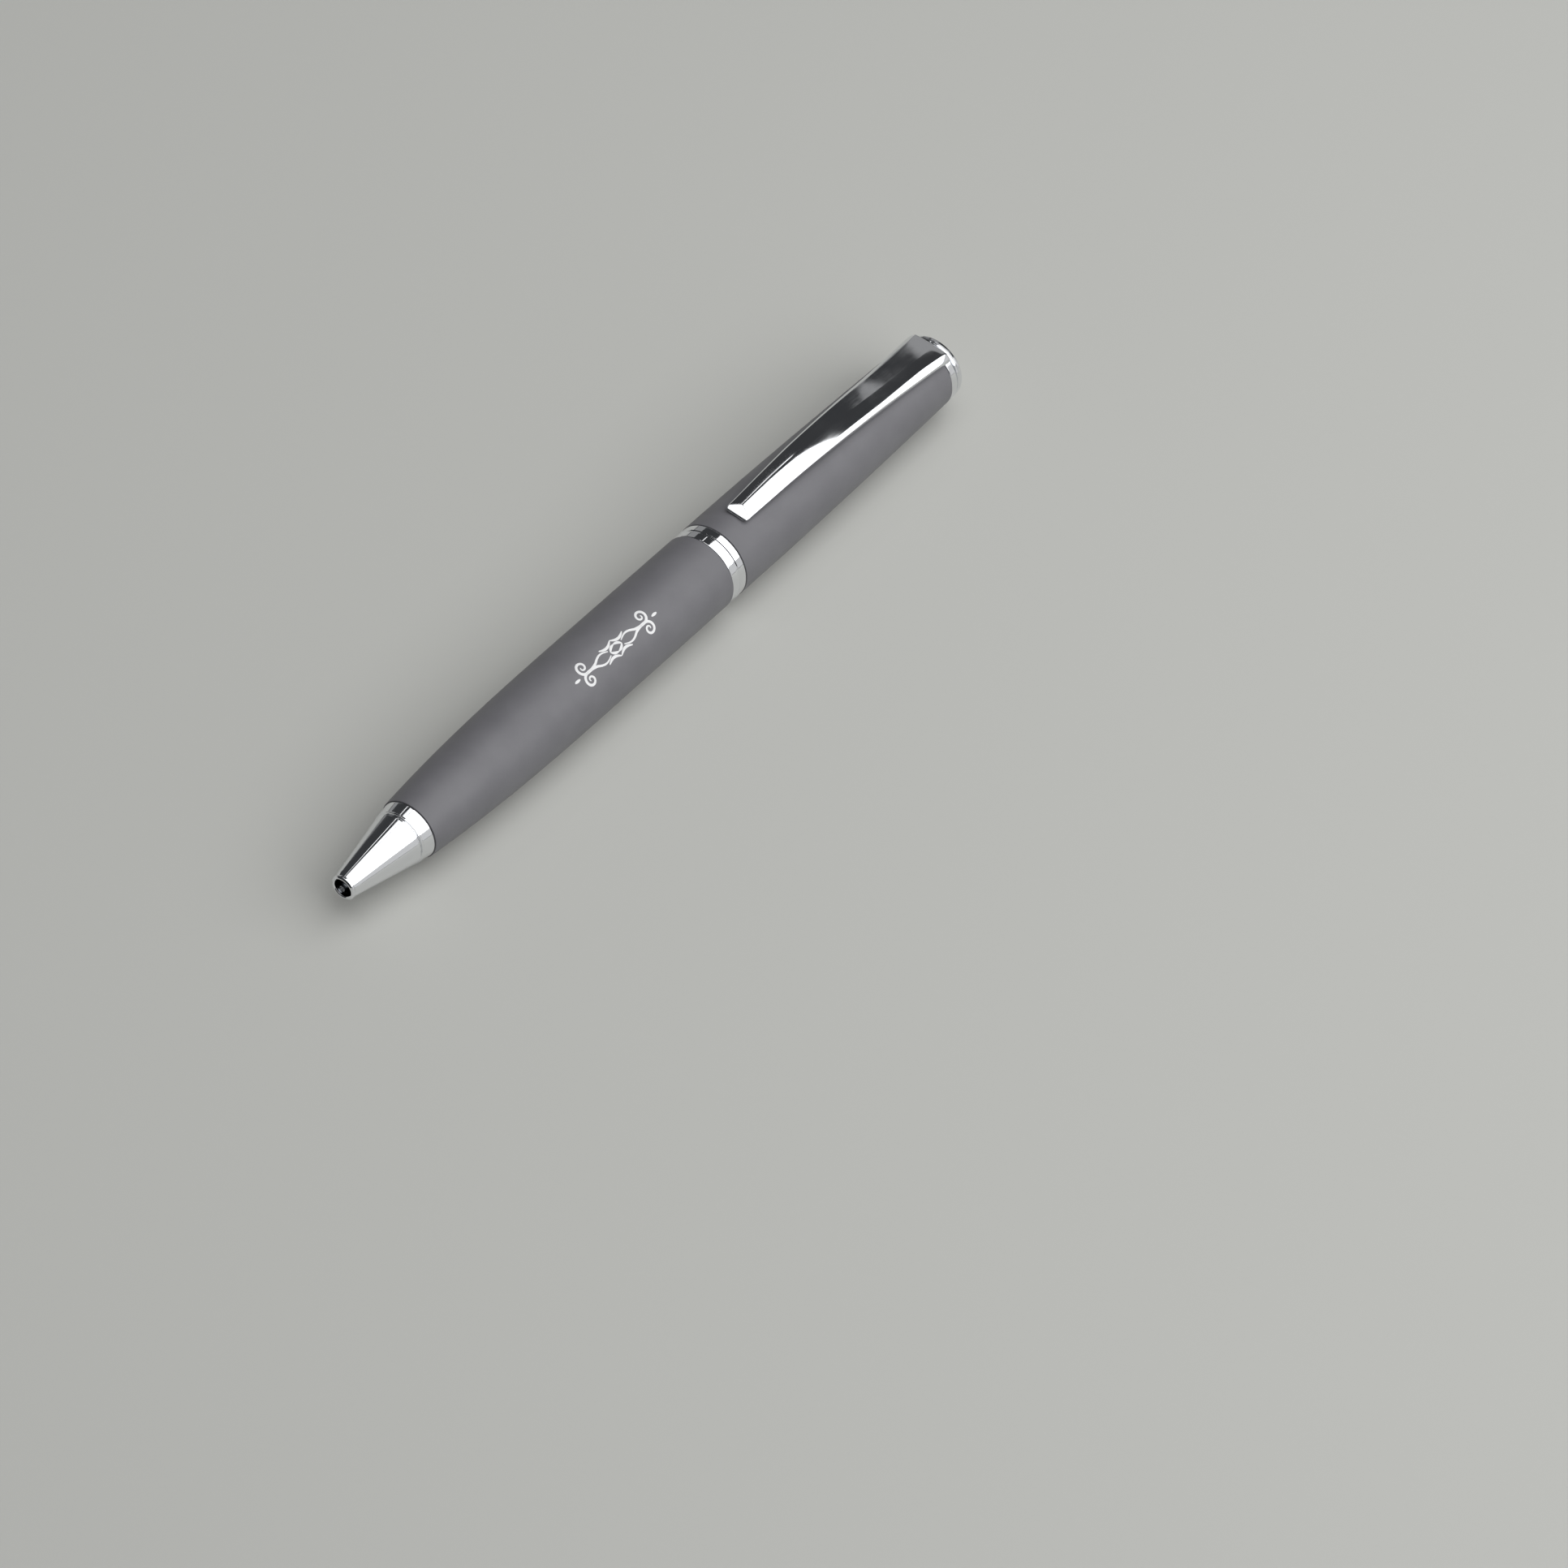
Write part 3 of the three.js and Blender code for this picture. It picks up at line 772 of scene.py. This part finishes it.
def coil_tree():
    """Geometry Nodes: a round wire wound along the pen, closer together over its dead turns."""
    sizes = ("Radius", "Wire Radius", "Start", "Length", "Turns", "Dead Turns", "Axis Height")
    takes = dict.fromkeys(sizes, "Float") | {"Steps": "Int", "Material": "Material"}
    tree, given, result = new_tree("coil", "GeometryNodeTree", takes, {"Geometry": "Geometry"})

    def math(operation, *sources):
        """The result of one Math node in this tree."""
        return math_node(tree, operation, *sources)

    turns, dead_turns = given["Turns"], given["Dead Turns"]
    line = new_node(tree, "GeometryNodeCurvePrimitiveLine").outputs[0]
    spaced = new_node(tree, "GeometryNodeResampleCurve", Curve=line, Count=given["Steps"])
    factor = new_node(tree, "GeometryNodeSplineParameter").outputs["Factor"]
    turns_done = math("MULTIPLY", factor, turns)
    angle = math("MULTIPLY", turns_done, 2 * pi)
    wire_width = math("MULTIPLY", given["Wire Radius"], CLOSE_WOUND)
    open_length = math("SUBTRACT", given["Length"], math("MULTIPLY", wire_width, turns))
    ease = new_node(tree, "ShaderNodeMapRange", {"interpolation_type": "SMOOTHSTEP"}, Value=turns_done,
                    From_Min=dead_turns, From_Max=math("SUBTRACT", turns, dead_turns))
    eased = math("MULTIPLY", ease.outputs["Result"], open_length)
    sprung = math("MULTIPLY_ADD", turns_done, wire_width, eased)
    even = math("MULTIPLY", factor, given["Length"])
    is_spring = math("GREATER_THAN", dead_turns, 0.0)
    is_thread = math("SUBTRACT", 1.0, is_spring)
    along = math("ADD", math("MULTIPLY", sprung, is_spring), math("MULTIPLY", even, is_thread))
    across = math("MULTIPLY", math("SINE", angle), given["Radius"])
    height = math("MULTIPLY_ADD", math("COSINE", angle), given["Radius"], given["Axis Height"])
    place = new_node(tree, "ShaderNodeCombineXYZ", X=math("ADD", along, given["Start"]), Y=across, Z=height)
    wound = new_node(tree, "GeometryNodeSetPosition", Geometry=spaced.outputs["Curve"],
                     Position=place.outputs["Vector"])
    section = new_node(tree, "GeometryNodeCurvePrimitiveCircle", Resolution=WIRE_SIDES,
                       Radius=given["Wire Radius"])
    wire = new_node(tree, "GeometryNodeCurveToMesh", Curve=wound.outputs["Geometry"],
                    Profile_Curve=section.outputs["Curve"], Fill_Caps=True)
    ended(tree, wire.outputs["Mesh"], given["Material"], result["Geometry"])
    return tree


def grown(name, tree, **values):
    """The plain object that a Geometry Nodes tree makes from the given inputs."""
    holder = bpy.data.objects.new(name + "_tree", bpy.data.meshes.new(name + "_tree"))
    bpy.context.collection.objects.link(holder)
    modifier = holder.modifiers.new("tree", "NODES")
    modifier.node_group = tree
    for item in tree.interface.items_tree:
        if item.in_out == "INPUT":
            modifier[item.identifier] = values[item.name.replace(" ", "_")]
    bpy.context.view_layer.update()
    evaluated = holder.evaluated_get(bpy.context.evaluated_depsgraph_get())
    mesh = bpy.data.meshes.new_from_object(evaluated)
    bpy.data.objects.remove(holder)
    mesh.name = name
    mesh.shade_smooth()
    mesh.set_sharp_from_angle(angle=radians(50))
    piece = bpy.data.objects.new(name, mesh)
    bpy.context.collection.objects.link(piece)
    return piece


def merged(piece, *others):
    """The other pieces' meshes added to the first one's."""
    shape = bmesh.new()
    for source in (piece, *others):
        shape.from_mesh(source.data)
    shape.to_mesh(piece.data)
    shape.free()
    for other in others:
        bpy.data.objects.remove(other)
    return piece


coil = coil_tree()


def thread(start, length, radius, pitch, material):
    """A screw thread's ridge, standing half its wire above the core radius."""
    turns = length / pitch
    return grown("thread", coil, Radius=radius * MM, Wire_Radius=THREAD_WIRE * pitch * MM,
                 Start=at(start), Length=length * MM, Turns=turns, Dead_Turns=0.0, Axis_Height=AXIS_Z,
                 Steps=int(turns * STEPS_PER_TURN), Material=material)


merged(nose, thread(15.2, 5.2, 3.66, 0.6, chrome))
merged(finial, thread(131.5, 3.8, 1.34, 0.5, chrome))

lower_bush = turned("lower_bush", [
    (66.0, 4.75, 0.1),
    (66.0, 5.1, 0.1),
    (66.6, 5.3, 0.1),
    (71.5, 5.3, 0.05),
    (71.7, 5.1, 0.05),
    (73.3, 5.1, 0.05),
    (73.5, 5.3, 0.05),
    (79.2, 5.3, 0.1),
    (79.2, 4.75, 0.1),
], brass)
take_place(lower_bush, "lower_bush", "lower_half", "brass")

collar = turned("mechanism_collar", [
    (67.0, 3.65, 0.1),
    (67.0, 4.3, 0.15),
    (78.6, 4.3, 0.1),
    (78.8, 4.62, 0.05),
    (79.1, 4.62, 0.05),
    (79.3, 4.45, 0.05),
    (85.9, 4.45, 0.05),
    (85.9, 4.0, 0.1),
    (87.5, 4.0, 0.1),
    (87.5, 4.45, 0.05),
    (94.0, 4.45, 0.2),
    (94.0, 3.65, 0.1),
], brass)
merged(collar, thread(67.8, 10.4, 4.38, 0.75, brass))
take_place(collar, "mechanism_collar", "lower_half", "brass")


# ---------------------------------------------------------------------------------------------
# Friction ring: a moulded rubber O-ring in the collar's groove. It rubs inside the housing and
# gives the twist its even drag.
# ---------------------------------------------------------------------------------------------
rubber = worked_material("seal_rubber", sprayed_flakes, 0, 0.3, 0.01 * MM,
                         Base=(0.018, 0.018, 0.018, 1), Light=(0.04, 0.04, 0.042, 1), Flake_Size=12000.0)
SEAL_STATION = 86.7
SEAL_RADIUS = 4.29
SEAL_THICKNESS = 0.23
SEAL_FLATTENED = 1.9
SEAL_POINTS = 16

seal_outline = []
for i in range(SEAL_POINTS):
    angle = 2 * pi * i / SEAL_POINTS
    station = SEAL_STATION + SEAL_FLATTENED * SEAL_THICKNESS * cos(angle)
    seal_outline.append((station, SEAL_RADIUS + SEAL_THICKNESS * sin(angle), 0))
friction_ring = turned("friction_ring", seal_outline, rubber)
take_place(friction_ring, "friction_ring", "lower_half", "rubber")


# ---------------------------------------------------------------------------------------------
# Guide tube and cam sleeve: moulded acetal. The plunger's pin can only run along the straight
# slots of the guide tube, and the cam sleeve's helical slots push it there as the sleeve turns.
# ---------------------------------------------------------------------------------------------
PIN_STATION = 101.5
PIN_RADIUS = 0.55
TRAVEL = 4.5
HALF_TURN = pi
SLOT_INSIDE = 2.7
GUIDE_OUTSIDE = 4.0
SLEEVE_OUTSIDE = 5.2
GUIDE_PLAY = 0.2
SLEEVE_PLAY = 0.25
SLOT_REST = radians(13)

polymer = worked_material("moulded_acetal", sprayed_flakes, 0, 0.2, 0.008 * MM,
                          Base=(0.035, 0.036, 0.040, 1), Light=(0.06, 0.062, 0.068, 1), Flake_Size=7000.0)


def cut_out(piece, cutters):
    """The piece with the cutters' meshes taken away."""
    for cutter in cutters:
        modifier = piece.modifiers.new("cut", "BOOLEAN")
        modifier.operation = "DIFFERENCE"
        modifier.solver = "EXACT"
        modifier.object = cutter
    bpy.context.view_layer.update()
    evaluated = piece.evaluated_get(bpy.context.evaluated_depsgraph_get())
    mesh = bpy.data.meshes.new_from_object(evaluated)
    piece.modifiers.clear()
    piece.data = mesh
    mesh.set_sharp_from_angle(angle=radians(35))
    for cutter in cutters:
        bpy.data.objects.remove(cutter)
    return piece


def prism(name, rings, material):
    """A solid through a row of rings of corner points."""
    shape = bmesh.new()
    skinned(shape, [[shape.verts.new(point) for point in ring] for ring in rings])
    return finished(name, shape, material)


def straight_slot(angle):
    """Cutter of a straight slot that the pin runs along."""
    half_width = PIN_RADIUS + GUIDE_PLAY
    rings = []
    for station in (PIN_STATION - TRAVEL - half_width, PIN_STATION + half_width):
        ring = []
        for sign, radius in ((-1, SLOT_INSIDE), (-1, GUIDE_OUTSIDE), (1, GUIDE_OUTSIDE), (1, SLOT_INSIDE)):
            across = Vector((0, cos(angle), -sin(angle))) * sign * half_width * MM
            ring.append(Vector(round_axis(station, radius, angle)) + across)
        rings.append(ring)
    return prism("straight_slot", rings, polymer)


def helical_slot(angle, steps=48):
    """Cutter of a slot that falls by the full travel over half a turn, with a rest at each end."""
    half_width = PIN_RADIUS + SLEEVE_PLAY
    rings = []
    for i in range(steps + 1):
        turn = -SLOT_REST + (HALF_TURN + 2 * SLOT_REST) * i / steps
        station = PIN_STATION - TRAVEL * min(max(turn / HALF_TURN, 0), 1)
        ring = []
        for sign, radius in ((-1, SLOT_INSIDE), (-1, SLEEVE_OUTSIDE), (1, SLEEVE_OUTSIDE), (1, SLOT_INSIDE)):
            ring.append(round_axis(station + sign * half_width, radius, angle + turn))
        rings.append(ring)
    return prism("helical_slot", rings, polymer)


guide_tube = turned("guide_tube", [
    (75.0, 3.15, 0.1),
    (75.0, 3.6, 0.15),
    (113.0, 3.6, 0.15),
    (113.0, 3.15, 0.1),
], polymer)
cut_out(guide_tube, [straight_slot(0), straight_slot(pi)])
take_place(guide_tube, "guide_tube", "lower_half", "polymer")

cam_sleeve = turned("cam_sleeve", [
    (94.3, 3.8, 0.1),
    (94.3, 4.5, 0.15),
    (113.2, 4.5, 0.15),
    (113.2, 3.8, 0.1),
], polymer)
cut_out(cam_sleeve, [helical_slot(0), helical_slot(pi)])
take_place(cam_sleeve, "cam_sleeve", "upper_half", "polymer")


# ---------------------------------------------------------------------------------------------
# Return spring: hard drawn steel wire with a closed turn at each end, between the ledge in the nose
# and the refill's shoulder. It is built at rest and keeps its length when the refill comes forward.
# ---------------------------------------------------------------------------------------------
SPRING_FRONT = 6.3
SPRING_REAR = 15.85
SPRING_RADIUS = 2.1
WIRE_RADIUS = 0.165
SPRING_TURNS = 9.0

steel = worked_material("bright_steel", tool_marks, 1, 0.1, 0.002 * MM, Base=(0.60, 0.61, 0.62, 1),
                        Stain=(0.50, 0.50, 0.50, 1), Ring_Rate=ring_rate(0.07), Low=0.14, High=0.26)
spring = grown("return_spring", coil, Radius=SPRING_RADIUS * MM, Wire_Radius=WIRE_RADIUS * MM,
               Start=at(SPRING_FRONT + WIRE_RADIUS),
               Length=(SPRING_REAR - SPRING_FRONT - 2 * WIRE_RADIUS) * MM, Turns=SPRING_TURNS,
               Dead_Turns=1.0, Axis_Height=AXIS_Z, Steps=int(SPRING_TURNS * STEPS_PER_TURN), Material=steel)
take_place(spring, "return_spring", "lower_half", "steel")
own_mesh(spring)


# ---------------------------------------------------------------------------------------------
# Mechanism housing and its cap: turned brass. Straight knurls grip the inside of the upper
# barrel, and the cap closes the housing behind the cam sleeve.
# ---------------------------------------------------------------------------------------------
KNURL_HEIGHT = 0.12
RIB_SUNK = 0.1


def rib_tree():
    """Geometry Nodes: straight ribs spaced evenly round the pen's axis."""
    sizes = ("Radius", "Rib Width", "Rib Height", "Rib Length", "Start", "Axis Height")
    takes = dict.fromkeys(sizes, "Float") | {"Count": "Int", "Material": "Material"}
    tree, given, result = new_tree("ribs", "GeometryNodeTree", takes, {"Geometry": "Geometry"})
    circle = new_node(tree, "GeometryNodeMeshCircle", Vertices=given["Count"], Radius=given["Radius"])
    rib_size = new_node(tree, "ShaderNodeCombineXYZ", X=given["Rib Height"], Y=given["Rib Width"],
                        Z=given["Rib Length"])
    rib = new_node(tree, "GeometryNodeMeshCube", Size=rib_size.outputs["Vector"])
    place = new_node(tree, "GeometryNodeInputPosition").outputs["Position"]
    aim = new_node(tree, "FunctionNodeAlignRotationToVector", {"axis": "X", "pivot_axis": "Z"}, Vector=place)
    stood = new_node(tree, "GeometryNodeInstanceOnPoints", Points=circle.outputs["Mesh"],
                     Instance=rib.outputs["Mesh"], Rotation=aim.outputs["Rotation"])
    middle = math_node(tree, "MULTIPLY_ADD", given["Rib Length"], 0.5, given["Start"])
    shift = new_node(tree, "ShaderNodeCombineXYZ", X=middle, Z=given["Axis Height"])
    laid = new_node(tree, "GeometryNodeTransform", Geometry=stood.outputs["Instances"],
                    Translation=shift.outputs["Vector"], Rotation=(0, pi / 2, 0))
    ended(tree, laid.outputs["Geometry"], given["Material"], result["Geometry"])
    return tree


ribs = rib_tree()


def ribbed(start, length, radius, width, count, material):
    """Ribs that stand out from a turned piece, with their feet sunk into it."""
    return grown("ribs", ribs, Radius=(radius + (KNURL_HEIGHT - RIB_SUNK) / 2) * MM, Rib_Width=width * MM,
                 Rib_Height=(KNURL_HEIGHT + RIB_SUNK) * MM, Rib_Length=length * MM, Start=at(start),
                 Axis_Height=AXIS_Z, Count=count, Material=material)


housing = turned("mechanism_housing", [
    (82.8, 4.6, 0.1),
    (82.8, 4.95, 0.1),
    (116.9, 4.95, 0.1),
    (117.0, 5.05, 0.05),
    (117.8, 5.05, 0.1),
    (117.8, 4.6, 0.1),
], brass)
merged(housing, *[ribbed(start, 9.0, 4.95, 0.22, 60, brass) for start in (84.0, 104.0)])
take_place(housing, "mechanism_housing", "upper_half", "brass")

housing_cap = turned("housing_cap", [
    (113.4, 1.0, 0.1),
    (113.4, 4.5, 0.15),
    (116.5, 4.5, 0.15),
    (116.5, 3.2, 0.1),
    (115.0, 2.8, 0.2),
    (115.0, 1.0, 0.1),
], brass)
take_place(housing_cap, "housing_cap", "upper_half", "brass")


# ---------------------------------------------------------------------------------------------
# Top bush: turned brass, pressed into the top of the barrel. The finial screws into it, and the
# clip's foot hooks into the slot cut in its side.
# ---------------------------------------------------------------------------------------------
FOOT_FRONT = 132.7
FOOT_REAR = 134.0
FOOT_HALF_WIDTH = 1.55
FOOT_BOTTOM = 4.0
FOOT_TOP = 5.75
FOOT_PLAY = 0.3
FOOT_SIDE_PLAY = 0.2
NOTCH_TOP = 6.6


def block(name, start, end, half_width, bottom, top, material):
    """A rectangular block across the top of the pen."""
    rings = []
    for station in (start, end):
        corners = ((-half_width, bottom), (half_width, bottom), (half_width, top), (-half_width, top))
        rings.append([(at(station), y * MM, AXIS_Z + z * MM) for y, z in corners])
    return prism(name, rings, material)


def foot_room():
    """Cutter of the notch that the clip's foot drops into."""
    return block("foot_room", FOOT_FRONT - FOOT_PLAY, BARREL_REAR + 1, FOOT_HALF_WIDTH + FOOT_SIDE_PLAY,
                 FOOT_BOTTOM - FOOT_PLAY, NOTCH_TOP, brass)


top_bush = turned("top_bush", [
    (130.5, 1.6, 0.1),
    (130.5, 4.75, 0.15),
    (134.2, 4.75, 0.15),
    (134.2, 1.6, 0.1),
], brass)
cut_out(top_bush, [foot_room()])
take_place(top_bush, "top_bush", "upper_half", "brass")
cut_out(upper_barrel, [foot_room()])
clip_foot = block("clip_foot", FOOT_FRONT, FOOT_REAR, FOOT_HALF_WIDTH, FOOT_BOTTOM, FOOT_TOP, chrome)
merged(clip, clip_foot)


# ---------------------------------------------------------------------------------------------
# Plunger and its cross pin: a moulded push rod behind the refill, with a ground steel pin through
# it that runs in the slots.
# ---------------------------------------------------------------------------------------------
PIN_REACH = 4.3
PIN_EDGE = 0.12
PIN_PLAY = 0.06
PIN_UNDERSIZE = 0.01


def cross_pin(name, radius, reach, rounding, material, sides=32):
    """A bar across the pen with rounded ends, standing upright."""
    rings = []
    for height, width in ((-reach, radius - rounding), (-reach + rounding, radius),
                          (reach - rounding, radius), (reach, radius - rounding)):
        turns = [2 * pi * k / sides for k in range(sides)]
        rings.append([(at(PIN_STATION) + width * MM * cos(turn), width * MM * sin(turn), AXIS_Z + height * MM)
                      for turn in turns])
    return prism(name, rings, material)


plunger = turned("plunger", [
    (99.7, 0.0, 0.0),
    (99.7, 2.6, 0.15),
    (100.1, 3.0, 0.15),
    (103.0, 3.0, 0.05),
    (103.1, 2.8, 0.05),
    (103.6, 2.8, 0.05),
    (103.7, 3.0, 0.05),
    (104.2, 3.0, 0.15),
    (104.6, 2.6, 0.15),
    (104.6, 0.0, 0.0),
], polymer, closed=False)
cut_out(plunger, [cross_pin("pin_hole", PIN_RADIUS + PIN_PLAY, 5.0, 0.0, polymer)])
take_place(plunger, "plunger", "refill", "polymer")
plunger_pin = cross_pin("plunger_pin", PIN_RADIUS - PIN_UNDERSIZE, PIN_REACH, PIN_EDGE, steel)
take_place(plunger_pin, "plunger_pin", "refill", "steel")


# ---------------------------------------------------------------------------------------------
# Refill: a standard capless rollerball refill. A thin drawn metal tube holds the ink, a moulded
# front carries the steel tip, a ribbed plug closes the back, and a carbide ball sits in the tip.
# ---------------------------------------------------------------------------------------------
refill_metal = worked_material("refill_metal", tool_marks, 1, 0.12, 0.002 * MM, Base=(0.62, 0.63, 0.64, 1),
                               Stain=(0.54, 0.54, 0.54, 1), Ring_Rate=ring_rate(0.2), Low=0.28, High=0.42)
refill_tube = turned("refill_tube", [
    (16.6, 2.55, 0.05),
    (16.6, 2.9, 0.1),
    (17.4, 2.95, 0.1),
    (18.8, 2.95, 0.1),
    (19.0, 2.82, 0.1),
    (19.3, 2.82, 0.1),
    (19.5, 2.95, 0.1),
    (96.0, 2.95, 0.1),
    (97.4, 2.9, 0.1),
    (97.4, 2.55, 0.05),
], refill_metal)
take_place(refill_tube, "refill_tube", "refill", "refill_body")

refill_front = turned("refill_front", [
    (7.5, 1.22, 0.03),
    (7.5, 1.4, 0.05),
    (7.9, 1.7, 0.1),
    (15.95, 1.7, 0.1),
    (16.35, 2.83, 0.1),
    (16.5, 2.83, 0.05),
    (16.5, 2.45, 0.05),
    (20.0, 2.45, 0.2),
    (20.0, 0.6, 0.1),
    (9.0, 0.6, 0.05),
    (9.0, 1.22, 0.05),
], polymer)
take_place(refill_front, "refill_front", "refill", "polymer")

refill_plug = turned("refill_plug", [
    (94.5, 0.6, 0.1),
    (94.5, 2.3, 0.2),
    (97.5, 2.3, 0.05),
    (97.5, 2.75, 0.1),
    (99.2, 2.75, 0.1),
    (99.6, 2.4, 0.1),
    (99.6, 0.6, 0.1),
], polymer)
merged(refill_plug, ribbed(97.7, 1.4, 2.75, 0.4, 12, polymer))
take_place(refill_plug, "refill_plug", "refill", "polymer")

refill_tip = turned("refill_tip", [
    (1.7, 0.32, 0.0),
    (1.7, 0.42, 0.02),
    (2.1, 0.55, 0.05),
    (3.4, 1.15, 0.2),
    (8.8, 1.15, 0.05),
    (8.8, 0.25, 0.05),
    (2.4, 0.25, 0.0),
    (2.4, 0.39, 0.0),
    (1.86, 0.39, 0.0),
    (1.77, 0.32, 0.0),
], steel, sides=64)
take_place(refill_tip, "refill_tip", "refill", "steel")

BALL_STATION = 1.95
BALL_RADIUS = 0.35
BALL_STEPS = 24
carbide = worked_material("tungsten_carbide", tool_marks, 1, 0.05, 0.001 * MM, Base=(0.45, 0.46, 0.48, 1),
                          Stain=(0.38, 0.38, 0.40, 1), Ring_Rate=ring_rate(0.03), Low=0.08, High=0.16)
ball_outline = []
for i in range(BALL_STEPS + 1):
    angle = pi * i / BALL_STEPS
    radius = BALL_RADIUS * sin(angle) if 0 < i < BALL_STEPS else 0.0
    ball_outline.append((BALL_STATION - BALL_RADIUS * cos(angle), radius, 0.0))
writing_ball = turned("writing_ball", ball_outline, carbide, closed=False, sides=48)
take_place(writing_ball, "writing_ball", "refill", "carbide")
